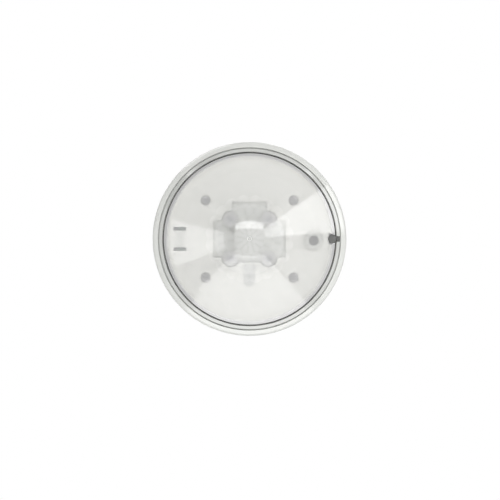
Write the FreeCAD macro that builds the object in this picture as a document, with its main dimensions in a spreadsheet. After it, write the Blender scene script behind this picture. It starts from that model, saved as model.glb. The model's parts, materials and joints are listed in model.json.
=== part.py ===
import FreeCAD, Part
import math
import os
import Sketcher
from types import SimpleNamespace

# Ceiling presence detector, shown lens down, in millimetres.
# The origin is the middle of the back face. +Z points into the ceiling.

SIZES = {
    # Rim, from the lens outwards
    "lens_radius": 47.6,
    "lens_gap": 0.6,
    "ring_inner_wall": 1.2,
    "spigot_wall": 1.5,
    "spigot_clearance": 0.1,
    "shell_wall": 2.4,
    "lip_step": 0.6,
    # Back shell
    "floor_thickness": 2.0,
    "face_chamfer": 3.2,
    "lip_height": 1.0,
    "shell_depth": 6.5,
    # Trim ring
    "seam_gap": 0.1,
    "spigot_height": 2.4,
    "ring_corner": 0.6,
    "ring_outer_wall": 1.5,
    "ring_face_wall": 1.1,
    "ring_band": 2.0,
    "ring_step": 0.3,
    "ring_proud": 0.15,
    "face_slope": 22.5,
    "ring_frame_gap": 0.2,
    # Bayonet between ring and shell
    "lug_angle": 41.0,
    "lug_width": 8.0,
    "lug_reach": 0.9,
    "lug_height": 0.9,
    "lug_set": 0.3,
    "lug_slack": 0.1,
    "lug_slack_angle": 0.5,
    "ring_turn": 12.0,
    # Lens cap
    "tip_arc_radius": 27.0,
    "lens_slope": 38.6,
    "flare_radius": 37.0,
    "flare_arc_radius": 57.0,
    "lens_wall": 1.2,
    "skirt_wall": 1.4,
    "skirt_height": 2.66,
    "collar_clearance": 0.1,
    "notch_width": 3.1,
    "notch_head_radius": 2.55,
    "notch_head_inset": 1.7,
    "notch_in_ring": 2.1,
    "notch_depth": 2.2,
    # Board stack
    "back_space": 4.8,
    "board_margin": 3.6,
    "board_thickness": 1.6,
    "plate_gap": 0.5,
    "plate_thickness": 1.5,
    "flange_thickness": 1.5,
    "flange_clearance": 0.2,
    "collar_wall": 1.5,
    "collar_height": 0.8,
    "rim_web": 1.0,
    "seal_thickness": 0.8,
    "seal_width": 1.8,
    "tongue_width": 6.0,
    "tongue_inset": 0.6,
    "tongue_clearance": 0.1,
    # Frame screws and their wells
    "screw_x": 24.4,
    "screw_y": 21.4,
    "screw_radius": 1.15,
    "screw_clearance": 0.05,
    "screw_head_radius": 2.6,
    "screw_head_height": 1.3,
    "screw_bite": 4.0,
    "well_radius": 2.9,
    "well_floor": 1.0,
    "pad_radius": 4.0,
    "boss_radius": 3.0,
    # Window in the frame and the holder that fills it
    "arm_half_x": 9.4,
    "arm_half_y": 10.2,
    "arm_reach_x": 20.0,
    "arm_reach_top": 20.6,
    "arm_reach_low": 13.0,
    "holder_clearance": 0.3,
    "holder_base": 1.4,
    "holder_tower": 4.2,
    # Four pyroelectric sensors
    "can_x": 10.4,
    "can_y": 10.75,
    "can_radius": 4.1,
    "can_wall": 0.3,
    "can_height": 3.4,
    "header_radius": 4.4,
    "header_thickness": 0.8,
    "lobe_margin": 0.2,
    "pane_width": 4.0,
    "pane_depth": 3.2,
    "pane_thickness": 0.6,
    "pane_clearance": 0.02,
    "lead_circle": 1.8,
    "lead_radius": 0.225,
    "lead_clearance": 0.1,
    "lead_tail": 1.0,
    # Long opening below the window
    "guide_half_width": 3.1,
    "guide_start": 14.6,
    "guide_split": 20.85,
    "guide_end": 26.4,
    "guide_clearance": 0.1,
    "guide_proud": 0.5,
    "guide_lift": 0.2,
    # Programming button
    "button_inset": 4.4,
    "button_y": 0.9,
    "button_radius": 2.6,
    "button_clearance": 0.1,
    "button_collar_radius": 4.7,
    "button_bore_radius": 3.9,
    "button_web": 1.0,
    "button_flange_radius": 3.6,
    "button_flange_height": 0.8,
    "button_proud": 0.6,
    "button_travel": 0.5,
    "switch_width": 5.2,
    "switch_height": 1.6,
    "switch_floor": 0.4,
    "plunger_radius": 1.25,
    "plunger_reach": 0.9,
    "plunger_clearance": 0.05,
    # Two slots beside the latch tongue
    "slot_inset": 1.4,
    "slot_length": 7.0,
    "slot_y": 5.65,
    "slot_width": 2.0,
    # Mounting posts
    "post_gap": 0.15,
    "post_radius": 2.5,
    "post_height": 15.0,
    "post_chamfer": 0.4,
    "post_collar_radius": 2.7,
    "post_clearance": 0.05,
    "post_foot_radius": 3.2,
    "post_foot_height": 1.5,
    # Bus terminal and its socket
    "terminal_x": 0.2,
    "terminal_width": 12.0,
    "terminal_depth": 10.0,
    "terminal_height": 11.5,
    "terminal_bevel": 0.8,
    "terminal_lift": 0.5,
    "socket_clearance": 0.2,
    "socket_width": 16.7,
    "socket_wall": 1.3,
    "socket_lift": 0.2,
    "tray_x": 0.7,
    "tray_width": 16.3,
    "tray_depth": 1.5,
    "tray_height": 2.6,
    "ear_half_width": 5.0,
    "ear_reach": 1.3,
    "ear_thickness": 1.0,
    "opening_clearance": 0.1,
    "pole_pitch": 5.75,
    "pin_radius": 0.5,
    "pin_clearance": 0.05,
    "pin_height": 6.3,
    "pin_tail": 0.9,
    "relief_clearance": 0.3,
    "sleeve_wall": 0.45,
    "sleeve_height": 5.5,
    "sleeve_set": 0.3,
    "wire_radius": 0.6,
    "wire_depth": 4.5,
    "wire_pitch_x": 2.6,
    "wire_pitch_y": 5.0,
    # Parts on the back of the board
    "controller_width": 10.0,
    "controller_height": 1.4,
    "controller_y": 24.0,
    "transceiver_width": 7.0,
    "transceiver_height": 1.0,
    "transceiver_y": -20.0,
    "capacitor_radius": 3.15,
    "capacitor_height": 4.2,
    "capacitor_x": -23.0,
    "choke_width": 6.0,
    "choke_height": 3.0,
    "choke_x": 22.0,
    "crystal_length": 5.0,
    "crystal_width": 3.2,
    "crystal_height": 1.2,
    "crystal_x": 11.0,
    # Parts on the front of the board
    "receiver_width": 5.0,
    "receiver_depth": 4.6,
    "receiver_height": 1.4,
    "receiver_dome": 1.6,
    "sensor_width": 2.0,
    "sensor_height": 0.4,
    "sensor_spacing": 2.6,
}

LUGS = 4
CORNERS = ((-1, -1), (1, -1), (1, 1), (-1, 1))
CORNER_NAMES = ("front_left", "front_right", "rear_right", "rear_left")
POLES = {"black": -1, "red": 1}

doc = FreeCAD.newDocument("presence_detector")
sheet = doc.addObject("Spreadsheet::Sheet", "Sizes")
for row, (alias, figure) in enumerate(SIZES.items(), start=1):
    sheet.set(f"A{row}", alias.replace("_", " "))
    sheet.set(f"B{row}", str(figure))
    sheet.setAlias(f"B{row}", alias)
doc.recompute()


# A length with its number and its formula on the sheet
class Size:
    def __init__(self, number, formula=None):
        self.number = number
        self.formula = formula or f"{number:.9g}"

    def joined(self, other, sign, number):
        return Size(number, f"({self.formula} {sign} {other.formula})")

    def __add__(self, other):
        other = size(other)
        return self.joined(other, "+", self.number + other.number)

    def __sub__(self, other):
        other = size(other)
        return self.joined(other, "-", self.number - other.number)

    def __mul__(self, other):
        other = size(other)
        return self.joined(other, "*", self.number * other.number)

    def __truediv__(self, other):
        other = size(other)
        return self.joined(other, "/", self.number / other.number)

    def __neg__(self):
        return Size(-self.number, f"(0 - {self.formula})")

    __rmul__ = __mul__
    __radd__ = __add__


def size(figure):
    return figure if isinstance(figure, Size) else Size(figure)


def sine(angle):
    return Size(math.sin(math.radians(angle.number)), f"sin({angle.formula})")


def cosine(angle):
    return Size(math.cos(math.radians(angle.number)), f"cos({angle.formula})")


def tangent(angle):
    return Size(math.tan(math.radians(angle.number)), f"tan({angle.formula})")


def root(square):
    return Size(math.sqrt(square.number), f"sqrt({square.formula})")


d = SimpleNamespace(**{alias: Size(figure, f"Sizes.{alias}") for alias, figure in SIZES.items()})
ZERO = Size(0.0)

# Radii of the rim, each one wall or gap outside the last
ring_inner = d.lens_radius + d.lens_gap
spigot_inner = ring_inner + d.ring_inner_wall
spigot_outer = spigot_inner + d.spigot_wall
shell_inner = spigot_outer + d.spigot_clearance
neck = shell_inner + d.shell_wall
lip = neck + d.lip_step
lug_outer = spigot_outer + d.lug_reach
collar_outer = d.lens_radius - d.skirt_wall - d.collar_clearance
collar_inner = collar_outer - d.collar_wall
flange_outer = spigot_inner - d.flange_clearance
step_inner = collar_inner - d.rim_web
tongue_inner = collar_inner - d.tongue_inset
board_radius = step_inner - d.board_margin

# Levels of the stack, from the back face down
floor_low = -d.floor_thickness
board_top = floor_low - d.back_space
board_low = board_top - d.board_thickness
plate_top = board_low - d.plate_gap
plate_low = plate_top - d.plate_thickness
flange_top = plate_top + d.flange_thickness
seal_low = plate_top - d.seal_thickness
lens_edge = seal_low - d.skirt_height
seam = -d.shell_depth - d.seam_gap
spigot_top = seam + d.spigot_height
lug_top = spigot_top - d.lug_set
lug_low = lug_top - d.lug_height

# Holder and sensors below the board
holder_low = board_low - d.holder_base
tower_low = holder_low - d.holder_tower
header_low = tower_low - d.header_thickness
can_low = header_low - d.can_height
column_radius = d.header_radius
lobe_radius = column_radius + d.lobe_margin + d.holder_clearance

# Bus terminal
terminal_low = board_top + d.terminal_lift
terminal_top = terminal_low + d.terminal_height
socket_half_y = d.terminal_depth / 2 + d.socket_clearance + d.socket_wall
sleeve_radius = d.pin_radius + d.pin_clearance + d.sleeve_wall
tray_west = d.tray_x - d.tray_width / 2
tray_east = d.tray_x + d.tray_width / 2
tray_front = -socket_half_y - d.tray_depth
post_x = d.socket_width / 2 + d.post_gap + d.post_foot_radius

pieces = {}


def keep(label, item):
    item.Label = label
    pieces[label] = item
    return item


def tie(item, slot, figure):
    item.setExpression(slot, figure.formula)


def new_body(label):
    body = doc.addObject("PartDesign::Body", label)
    body.AllowCompound = True
    return keep(label, body)


def origin_feature(body, role):
    return next(item for item in body.Origin.OriginFeatures if item.Role == role)


def new_sketch(body, role="XY_Plane", level=ZERO):
    sketch = body.newObject("Sketcher::SketchObject", body.Name + "_sketch")
    sketch.AttachmentSupport = (origin_feature(body, role), [""])
    sketch.MapMode = "FlatFace"
    if level is not ZERO:
        tie(sketch, "AttachmentOffset.Base.z", level)
    return sketch


def pin_down(sketch, kind, target, figure):
    # A constraint that is named after its number and follows the sheet
    index = sketch.addConstraint(Sketcher.Constraint(kind, *target, figure.number))
    if "Sizes" in figure.formula:
        sketch.renameConstraint(index, f"{kind}_{index}")
        tie(sketch, f"Constraints.{kind}_{index}", figure)


def outline(sketch, corners, arcs=None):
    # A closed outline. arcs gives the centre of each side that is round, by the number of its first corner.
    arcs = arcs or {}
    sides = []
    for number, (x, y) in enumerate(corners):
        start = FreeCAD.Vector(x.number, y.number, 0)
        next_x, next_y = corners[(number + 1) % len(corners)]
        end = FreeCAD.Vector(next_x.number, next_y.number, 0)
        if number not in arcs:
            sides.append((sketch.addGeometry(Part.LineSegment(start, end), False), 1, 2))
            continue
        centre = FreeCAD.Vector(arcs[number][0].number, arcs[number][1].number, 0)
        first = math.atan2(start.y - centre.y, start.x - centre.x)
        last = math.atan2(end.y - centre.y, end.x - centre.x)
        forward = (last - first) % (2 * math.pi) < math.pi
        circle = Part.Circle(centre, FreeCAD.Vector(0, 0, 1), start.distanceToPoint(centre))
        span = (first, last) if forward else (last, first)
        ends = (1, 2) if forward else (2, 1)
        sides.append((sketch.addGeometry(Part.ArcOfCircle(circle, *span), False), *ends))
    for number, (side, start, end) in enumerate(sides):
        following, following_start, _ = sides[(number + 1) % len(sides)]
        joint = Sketcher.Constraint("Coincident", side, end, following, following_start)
        sketch.addConstraint(joint)
    for (side, start, _), (x, y) in zip(sides, corners):
        pin_down(sketch, "DistanceX", (-1, 1, side, start), x)
        pin_down(sketch, "DistanceY", (-1, 1, side, start), y)
    for number, (centre_x, centre_y) in arcs.items():
        x, y = corners[number]
        across, along = x - centre_x, y - centre_y
        pin_down(sketch, "Radius", (sides[number][0],), root(across * across + along * along))


def circle(sketch, x, y, radius):
    place = FreeCAD.Vector(x.number, y.number, 0)
    ring = sketch.addGeometry(Part.Circle(place, FreeCAD.Vector(0, 0, 1), radius.number), False)
    pin_down(sketch, "DistanceX", (-1, 1, ring, 3), x)
    pin_down(sketch, "DistanceY", (-1, 1, ring, 3), y)
    pin_down(sketch, "Radius", (ring,), radius)


def rectangle(sketch, west, east, south, north):
    outline(sketch, [(west, south), (east, south), (east, north), (west, north)])


def sector(sketch, inner, outer, start, sweep):
    # Part of a ring about the origin, between two angles
    end = start + sweep
    corners = [
        (inner * cosine(start), inner * sine(start)),
        (outer * cosine(start), outer * sine(start)),
        (outer * cosine(end), outer * sine(end)),
        (inner * cosine(end), inner * sine(end)),
    ]
    outline(sketch, corners, {1: (ZERO, ZERO), 3: (ZERO, ZERO)})


def revolve(body, corners, arcs=None):
    # Corners are radius and height
    sketch = new_sketch(body, "XZ_Plane")
    outline(sketch, corners, arcs)
    turned = body.newObject("PartDesign::Revolution", body.Name + "_turned")
    turned.Profile = (sketch, [""])
    turned.ReferenceAxis = (sketch, ["V_Axis"])
    turned.Angle = 360
    doc.recompute()
    return turned


def pad(body, low, high, draw):
    sketch = new_sketch(body, level=low)
    draw(sketch)
    feature = body.newObject("PartDesign::Pad", body.Name + "_pad")
    feature.Profile = (sketch, [""])
    tie(feature, "Length", high - low)
    doc.recompute()
    return feature


def pocket(body, low, high, draw):
    doc.recompute()
    volume = body.Shape.Volume
    sketch = new_sketch(body, level=high)
    draw(sketch)
    feature = body.newObject("PartDesign::Pocket", body.Name + "_pocket")
    feature.Profile = (sketch, [""])
    tie(feature, "Length", high - low)
    doc.recompute()
    if body.Shape.Volume >= volume:
        raise RuntimeError(f"{feature.Name} cuts nothing")
    return feature


def repeat(body, features, count):
    # Copies of the features about the vertical axis
    pattern = body.newObject("PartDesign::PolarPattern", body.Name + "_pattern")
    pattern.Originals = features
    pattern.Axis = (origin_feature(body, "Z_Axis"), [""])
    pattern.Angle = 360
    pattern.Occurrences = count
    body.Tip = pattern
    doc.recompute()
    return pattern


def block(name, low, high):
    item = doc.addObject("Part::Box", name)
    for slot, start, end in zip(("Length", "Width", "Height"), low, high):
        tie(item, slot, end - start)
    for slot, start in zip("xyz", low):
        tie(item, f"Placement.Base.{slot}", start)
    return item


def rod(name, x, y, low, high, radius):
    item = doc.addObject("Part::Cylinder", name)
    tie(item, "Radius", radius)
    tie(item, "Height", high - low)
    for slot, start in zip("xyz", (x, y, low)):
        tie(item, f"Placement.Base.{slot}", start)
    return item


def cut(label, base, tool):
    item = doc.addObject("Part::Cut", label)
    item.Base = base
    item.Tool = tool
    return item


def fuse(label, *shapes):
    item = doc.addObject("Part::MultiFuse", label)
    item.Shapes = list(shapes)
    return item


def screw_places():
    return [(d.screw_x * x, d.screw_y * y) for x, y in CORNERS]


def can_places():
    return [(d.can_x * x, d.can_y * y) for x, y in CORNERS]


def lead_places(x, y):
    return [(x - d.lead_circle, y), (x, y + d.lead_circle), (x + d.lead_circle, y)]


def pin_places():
    return [(d.terminal_x + d.pole_pitch / 2 * side, ZERO) for side in POLES.values()]


def circles(places, radius):
    def draw(sketch):
        for x, y in places:
            circle(sketch, x, y, radius)
    return draw


def make_back_shell():
    body = new_body("back_shell")
    lip_low = -d.face_chamfer - d.lip_height
    revolve(body, [
        (ZERO, ZERO),
        (lip - d.face_chamfer, ZERO),
        (lip, -d.face_chamfer),
        (lip, lip_low),
        (neck, lip_low - d.lip_step),
        (neck, -d.shell_depth),
        (shell_inner, -d.shell_depth),
        (shell_inner, floor_low),
        (ZERO, floor_low),
    ])
    pad(body, board_top, floor_low, circles(screw_places(), d.boss_radius))
    bore = d.screw_radius + d.screw_clearance
    pocket(body, board_top, floor_low + d.floor_thickness / 2, circles(screw_places(), bore))
    hole = d.post_collar_radius + d.post_clearance
    pocket(body, floor_low, ZERO, circles([(-post_x, ZERO), (post_x, ZERO)], hole))
    # Opening for the terminal socket, wider in front for its tray
    gap = d.opening_clearance
    half_x = d.socket_width / 2 + gap
    half_y = socket_half_y + gap
    pocket(body, floor_low, ZERO, lambda sketch: rectangle(sketch, -half_x, half_x, -half_y, half_y))
    west, east, front = tray_west - gap, tray_east + gap, tray_front - gap
    pocket(body, floor_low, ZERO, lambda sketch: rectangle(sketch, west, east, front, d.tray_depth - half_y))
    # Bayonet: a round groove for each lug, and the mouth that it enters by
    start = d.lug_angle - d.ring_turn - d.lug_slack_angle
    mouth = d.lug_width + d.lug_slack_angle * 2
    inner = shell_inner - d.spigot_wall
    outer = lug_outer + d.spigot_clearance
    groove_low = lug_low - d.lug_slack
    groove = pocket(body, groove_low, lug_top + d.lug_slack,
                    lambda sketch: sector(sketch, inner, outer, start, mouth + d.ring_turn))
    entry = pocket(body, -d.shell_depth, groove_low,
                   lambda sketch: sector(sketch, inner, outer, start, mouth))
    repeat(body, [groove, entry], LUGS)


def make_trim_ring():
    body = new_body("trim_ring")
    face_inner = lens_edge - d.ring_proud
    step_radius = ring_inner + d.ring_band
    step_low = face_inner + d.ring_band * tangent(d.face_slope)
    step_top = step_low + d.ring_step
    corner_radius = neck - d.ring_corner
    corner_low = step_top + (corner_radius - step_radius) * tangent(d.face_slope)
    pit_low = corner_low + d.ring_face_wall
    outer_wall = neck - d.ring_outer_wall
    inner_top = plate_top - d.ring_frame_gap
    revolve(body, [
        (spigot_outer, spigot_top),
        (spigot_outer, pit_low),
        (outer_wall, pit_low),
        (outer_wall, seam),
        (neck, seam),
        (neck, corner_low + d.ring_corner),
        (corner_radius, corner_low),
        (step_radius, step_top),
        (step_radius, step_low),
        (ring_inner, face_inner),
        (ring_inner, inner_top),
        (spigot_inner, inner_top),
        (spigot_inner, spigot_top),
    ])
    root_radius = spigot_outer - d.spigot_wall / 2
    lug = pad(body, lug_low, lug_top,
              lambda sketch: sector(sketch, root_radius, lug_outer, d.lug_angle, d.lug_width))
    repeat(body, [lug], LUGS)
    half = d.notch_width / 2
    pocket(body, face_inner - d.ring_step, face_inner + d.notch_depth,
           lambda sketch: rectangle(sketch, ring_inner - d.lens_gap, ring_inner + d.notch_in_ring, -half, half))


def lens_profile(wall):
    # Outside of the lens for a wall of zero, otherwise the surface that far inside it
    slope_sine, slope_cosine = sine(d.lens_slope), cosine(d.lens_slope)
    flare_arc_radius = d.flare_arc_radius + wall
    tip_arc_radius = d.tip_arc_radius - wall
    centre_radius = d.flare_radius + d.flare_arc_radius * slope_sine
    reach = centre_radius - d.lens_radius
    centre_low = lens_edge - root(d.flare_arc_radius * d.flare_arc_radius - reach * reach)
    edge_radius = d.lens_radius if wall is ZERO else collar_outer + d.collar_clearance
    edge_reach = centre_radius - edge_radius
    edge = (edge_radius, centre_low + root(flare_arc_radius * flare_arc_radius - edge_reach * edge_reach))
    flare = (centre_radius - flare_arc_radius * slope_sine, centre_low + flare_arc_radius * slope_cosine)
    tip_centre = (centre_low + d.flare_arc_radius * slope_cosine
                  - (d.flare_radius - d.tip_arc_radius * slope_sine) * tangent(d.lens_slope)
                  + d.tip_arc_radius * slope_cosine)
    cone = (tip_arc_radius * slope_sine, tip_centre - tip_arc_radius * slope_cosine)
    tip = (ZERO, tip_centre - tip_arc_radius)
    centres = ((centre_radius, centre_low), (ZERO, tip_centre))
    return [edge, flare, cone, tip], centres


def make_lens_cap():
    body = new_body("lens_cap")
    outside, (flare_centre, tip_centre) = lens_profile(ZERO)
    inside, _ = lens_profile(d.lens_wall)
    skirt = [(inside[0][0], seal_low), (d.lens_radius, seal_low)]
    arcs = {0: flare_centre, 2: tip_centre, 4: tip_centre, 6: flare_centre}
    revolve(body, outside + inside[::-1] + skirt, arcs)
    # Pry notch with a round head. The tongue of the seal closes it from behind.
    half = d.notch_width / 2
    head = d.lens_radius - d.notch_head_inset
    low = lens_edge - d.skirt_height
    pocket(body, low, seal_low, lambda sketch: rectangle(sketch, head, d.lens_radius + d.lens_gap, -half, half))
    pocket(body, low, seal_low, circles([(head, ZERO)], d.notch_head_radius))


def make_lens_seal():
    body = new_body("lens_seal")
    outer = collar_outer + d.collar_clearance + d.seal_width
    inner = collar_outer + d.collar_clearance
    revolve(body, [(inner, plate_top), (outer, plate_top), (outer, seal_low), (inner, seal_low)])
    half = d.tongue_width / 2
    pad(body, seal_low, plate_top,
        lambda sketch: rectangle(sketch, tongue_inner, inner + d.seal_width / 2, -half, half))


def window_corners(inset):
    # Cross with a short arm on the side of the light guide
    x, y = d.arm_half_x - inset, d.arm_half_y - inset
    far_x, top, low = d.arm_reach_x - inset, d.arm_reach_top - inset, d.arm_reach_low - inset
    return [
        (-x, -top), (x, -top), (x, -y), (far_x, -y), (far_x, y), (x, y),
        (x, low), (-x, low), (-x, y), (-far_x, y), (-far_x, -y), (-x, -y),
    ]


def make_sensor_frame():
    body = new_body("sensor_frame")
    collar_low = plate_low - d.collar_height
    revolve(body, [
        (ZERO, plate_top),
        (step_inner, plate_top),
        (step_inner, flange_top),
        (flange_outer, flange_top),
        (flange_outer, plate_top),
        (collar_outer, plate_top),
        (collar_outer, collar_low),
        (collar_inner, collar_low),
        (collar_inner, plate_low),
        (ZERO, plate_low),
    ])
    pad(body, plate_top, board_low, circles(screw_places(), d.pad_radius))
    button = [(button_x, d.button_y)]
    pad(body, button_web_low, plate_low, circles(button, d.button_collar_radius))
    pocket(body, plate_low, board_low - d.well_floor, circles(screw_places(), d.well_radius))
    pocket(body, plate_low, board_low, circles(screw_places(), d.screw_radius + d.screw_clearance))
    pocket(body, button_web_top, plate_top, circles(button, d.button_bore_radius))
    hole = d.button_radius + d.button_clearance
    pocket(body, button_web_low, button_web_top, circles(button, hole))
    gap = d.tongue_clearance
    half = d.tongue_width / 2 + gap
    pocket(body, collar_low, plate_top,
           lambda sketch: rectangle(sketch, tongue_inner - gap, collar_outer + gap, -half, half))
    pocket(body, plate_low, plate_top, lambda sketch: outline(sketch, window_corners(ZERO)))
    pocket(body, plate_low, plate_top, circles(can_places(), lobe_radius))
    pocket(body, plate_low, plate_top, guide_opening)
    west = d.slot_inset - step_inner
    for side in (-1, 1):
        middle = d.slot_y * side
        half = d.slot_width / 2
        pocket(body, plate_low, plate_top,
               lambda sketch: rectangle(sketch, west, west + d.slot_length, middle - half, middle + half))


def guide_opening(sketch):
    width = d.guide_half_width
    rectangle(sketch, -width, width, d.guide_start, d.guide_end)


def make_frame_screws():
    body = new_body("frame_screws")
    seat = board_low - d.well_floor
    pad(body, seat - d.screw_head_height, seat, circles(screw_places(), d.screw_head_radius))
    pad(body, seat, board_top + d.screw_bite, circles(screw_places(), d.screw_radius))


def make_main_board():
    body = new_body("main_board")
    pad(body, board_low, board_top, circles([(ZERO, ZERO)], board_radius))
    pocket(body, board_low, board_top, circles(screw_places(), d.screw_radius + d.screw_clearance))
    pocket(body, board_low, board_top, circles(pin_places(), d.pin_radius + d.pin_clearance))
    leads = [place for x, y in can_places() for place in lead_places(x, y)]
    pocket(body, board_low, board_top, circles(leads, d.lead_radius + d.lead_clearance))


def make_sensor_holder():
    body = new_body("sensor_holder")
    pad(body, holder_low, board_low, lambda sketch: outline(sketch, window_corners(d.holder_clearance)))
    x, y = d.arm_half_x - d.holder_clearance, d.can_y
    pad(body, tower_low, holder_low, lambda sketch: rectangle(sketch, -x, x, -y, y))
    pad(body, tower_low, board_low, circles(can_places(), column_radius))
    leads = [place for x, y in can_places() for place in lead_places(x, y)]
    pocket(body, tower_low, board_low, circles(leads, d.lead_radius + d.lead_clearance))
    # Relief over the soldered ends of the bus pins
    relief = board_low - d.pin_tail - d.relief_clearance
    pocket(body, relief, board_low, circles(pin_places(), d.pin_radius + d.relief_clearance))


def make_pyro_sensor(name, x, y):
    header = new_body(f"pir_header_{name}")
    pad(header, header_low, tower_low, circles([(x, y)], d.header_radius))
    pad(header, tower_low, board_top + d.lead_tail, circles(lead_places(x, y), d.lead_radius))

    cap = new_body(f"pir_cap_{name}")
    pad(cap, can_low, header_low, circles([(x, y)], d.can_radius))
    pocket(cap, can_low + d.pane_thickness, header_low, circles([(x, y)], d.can_radius - d.can_wall))
    half_x, half_y = d.pane_width / 2, d.pane_depth / 2
    pocket(cap, can_low, can_low + d.pane_thickness,
           lambda sketch: rectangle(sketch, x - half_x, x + half_x, y - half_y, y + half_y))

    inset_x, inset_y = half_x - d.pane_clearance, half_y - d.pane_clearance
    pane = block(f"pir_window_{name}", (x - inset_x, y - inset_y, can_low),
                 (x + inset_x, y + inset_y, can_low + d.pane_thickness))
    keep(f"pir_window_{name}", pane)


def make_light_guide():
    half = d.guide_half_width - d.guide_clearance
    low = plate_low - d.guide_proud
    high = board_low - d.sensor_height - d.guide_lift
    guide = block("light_guide", (-half, d.guide_split, low), (half, d.guide_end - d.guide_clearance, high))
    keep("light_guide", guide)


def make_receiver():
    # Infrared receiver with its round lens, in the half of the opening beside the window
    middle = (d.guide_start + d.guide_split) / 2
    half_x, half_y = d.receiver_width / 2, d.receiver_depth / 2
    package_low = board_low - d.receiver_height
    package = block("receiver_package", (-half_x, middle - half_y, package_low),
                    (half_x, middle + half_y, board_low))
    dome = doc.addObject("Part::Sphere", "receiver_dome")
    tie(dome, "Radius", d.receiver_dome)
    dome.Angle2 = 0
    tie(dome, "Placement.Base.y", middle)
    tie(dome, "Placement.Base.z", package_low)
    keep("ir_receiver", fuse("ir_receiver", package, dome))


def make_front_chips():
    middle = (d.guide_split + d.guide_end) / 2
    half = d.sensor_width / 2
    for label, side in (("brightness_sensor", -1), ("status_led", 1)):
        x = d.sensor_spacing / 2 * side
        low = (x - half, middle - half, board_low - d.sensor_height)
        keep(label, block(label, low, (x + half, middle + half, board_low)))


# The button's shoulder rests on a web at the end of its collar
button_x = board_radius - d.button_inset
switch_low = board_low - d.switch_height
plunger_low = switch_low - d.plunger_reach
shoulder_low = plunger_low - d.button_flange_height
button_web_top = shoulder_low - d.button_clearance
button_web_low = button_web_top - d.button_web


def make_button():
    x, y = button_x, d.button_y
    shoulder = rod("button_shoulder", x, y, shoulder_low, plunger_low, d.button_flange_radius)
    stem = rod("button_stem", x, y, button_web_low - d.button_proud, shoulder_low, d.button_radius)
    keep("programming_button", fuse("programming_button", shoulder, stem))
    plunger_top = switch_low + d.button_travel / 2
    plunger = rod("button_plunger", x, y, plunger_low, plunger_top, d.plunger_radius)
    keep("button_plunger", plunger)
    half = d.switch_width / 2
    case = block("switch_case", (x - half, y - half, switch_low), (x + half, y + half, board_low))
    bore_radius = d.plunger_radius + d.plunger_clearance
    bore = rod("switch_bore", x, y, switch_low, board_low - d.switch_floor, bore_radius)
    keep("button_switch", cut("button_switch", case, bore))


def make_posts():
    for name, side in (("left", -1), ("right", 1)):
        body = new_body(f"mounting_post_{name}")
        foot_low = floor_low - d.post_foot_height
        revolve(body, [
            (ZERO, d.post_height),
            (d.post_radius - d.post_chamfer, d.post_height),
            (d.post_radius, d.post_height - d.post_chamfer),
            (d.post_radius, ZERO),
            (d.post_collar_radius, ZERO),
            (d.post_collar_radius, floor_low),
            (d.post_foot_radius, floor_low),
            (d.post_foot_radius, foot_low),
            (ZERO, foot_low),
        ])
        tie(body, "Placement.Base.x", post_x * side)


def make_terminal_socket():
    body = new_body("terminal_socket")
    half_x = d.socket_width / 2
    low = board_top + d.socket_lift
    front = -socket_half_y
    ear = floor_low - d.ear_thickness
    inner_y = d.terminal_depth / 2 + d.socket_clearance
    inner_x = d.terminal_width / 2 + d.socket_clearance
    west, east = d.terminal_x - inner_x, d.terminal_x + inner_x
    pad(body, low, terminal_top, lambda sketch: rectangle(sketch, -half_x, half_x, front, socket_half_y))
    pad(body, ear, floor_low,
        lambda sketch: rectangle(sketch, -d.ear_half_width, d.ear_half_width,
                                 tray_front - d.ear_reach, socket_half_y + d.ear_reach))
    pad(body, floor_low, d.tray_height,
        lambda sketch: rectangle(sketch, tray_west, tray_east, tray_front, -inner_y))
    pocket(body, d.tray_height, terminal_top,
           lambda sketch: rectangle(sketch, -half_x, half_x, front, -inner_y))
    pocket(body, low, terminal_top, lambda sketch: rectangle(sketch, west, east, -inner_y, inner_y))


def make_terminal_pole(colour, side):
    body = new_body(f"bus_terminal_{colour}")
    half_y = d.terminal_depth / 2
    middle, far = d.terminal_x, d.terminal_x + d.terminal_width / 2 * side
    bevel = d.terminal_bevel
    # The section across the terminal has a bevel at its outer top corner
    sketch = new_sketch(body, "XZ_Plane")
    outline(sketch, [
        (middle, terminal_low),
        (far, terminal_low),
        (far, terminal_top - bevel),
        (far - bevel * side, terminal_top),
        (middle, terminal_top),
    ])
    case = body.newObject("PartDesign::Pad", f"{body.Name}_case")
    case.Profile = (sketch, [""])
    case.Midplane = True
    tie(case, "Length", d.terminal_depth)
    doc.recompute()
    pole = d.terminal_x + d.pole_pitch / 2 * side
    bore_top = terminal_low + d.sleeve_set + d.sleeve_height
    pocket(body, terminal_low, bore_top, circles([(pole, ZERO)], sleeve_radius + d.pane_clearance))
    wires = [(pole + d.wire_pitch_x / 2 * x, d.wire_pitch_y / 2 * y) for x, y in CORNERS]
    pocket(body, terminal_top - d.wire_depth, terminal_top, circles(wires, d.wire_radius))

    low, high = terminal_low + d.sleeve_set, bore_top
    outer = rod(f"sleeve_{colour}_outer", pole, ZERO, low, high, sleeve_radius)
    bore = rod(f"sleeve_{colour}_bore", pole, ZERO, low, high, d.pin_radius + d.pin_clearance)
    keep(f"contact_sleeve_{colour}", cut(f"contact_sleeve_{colour}", outer, bore))


def make_bus_pins():
    body = new_body("bus_pins")
    pad(body, board_low - d.pin_tail, board_top + d.pin_height - d.pin_tail, circles(pin_places(), d.pin_radius))


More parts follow.
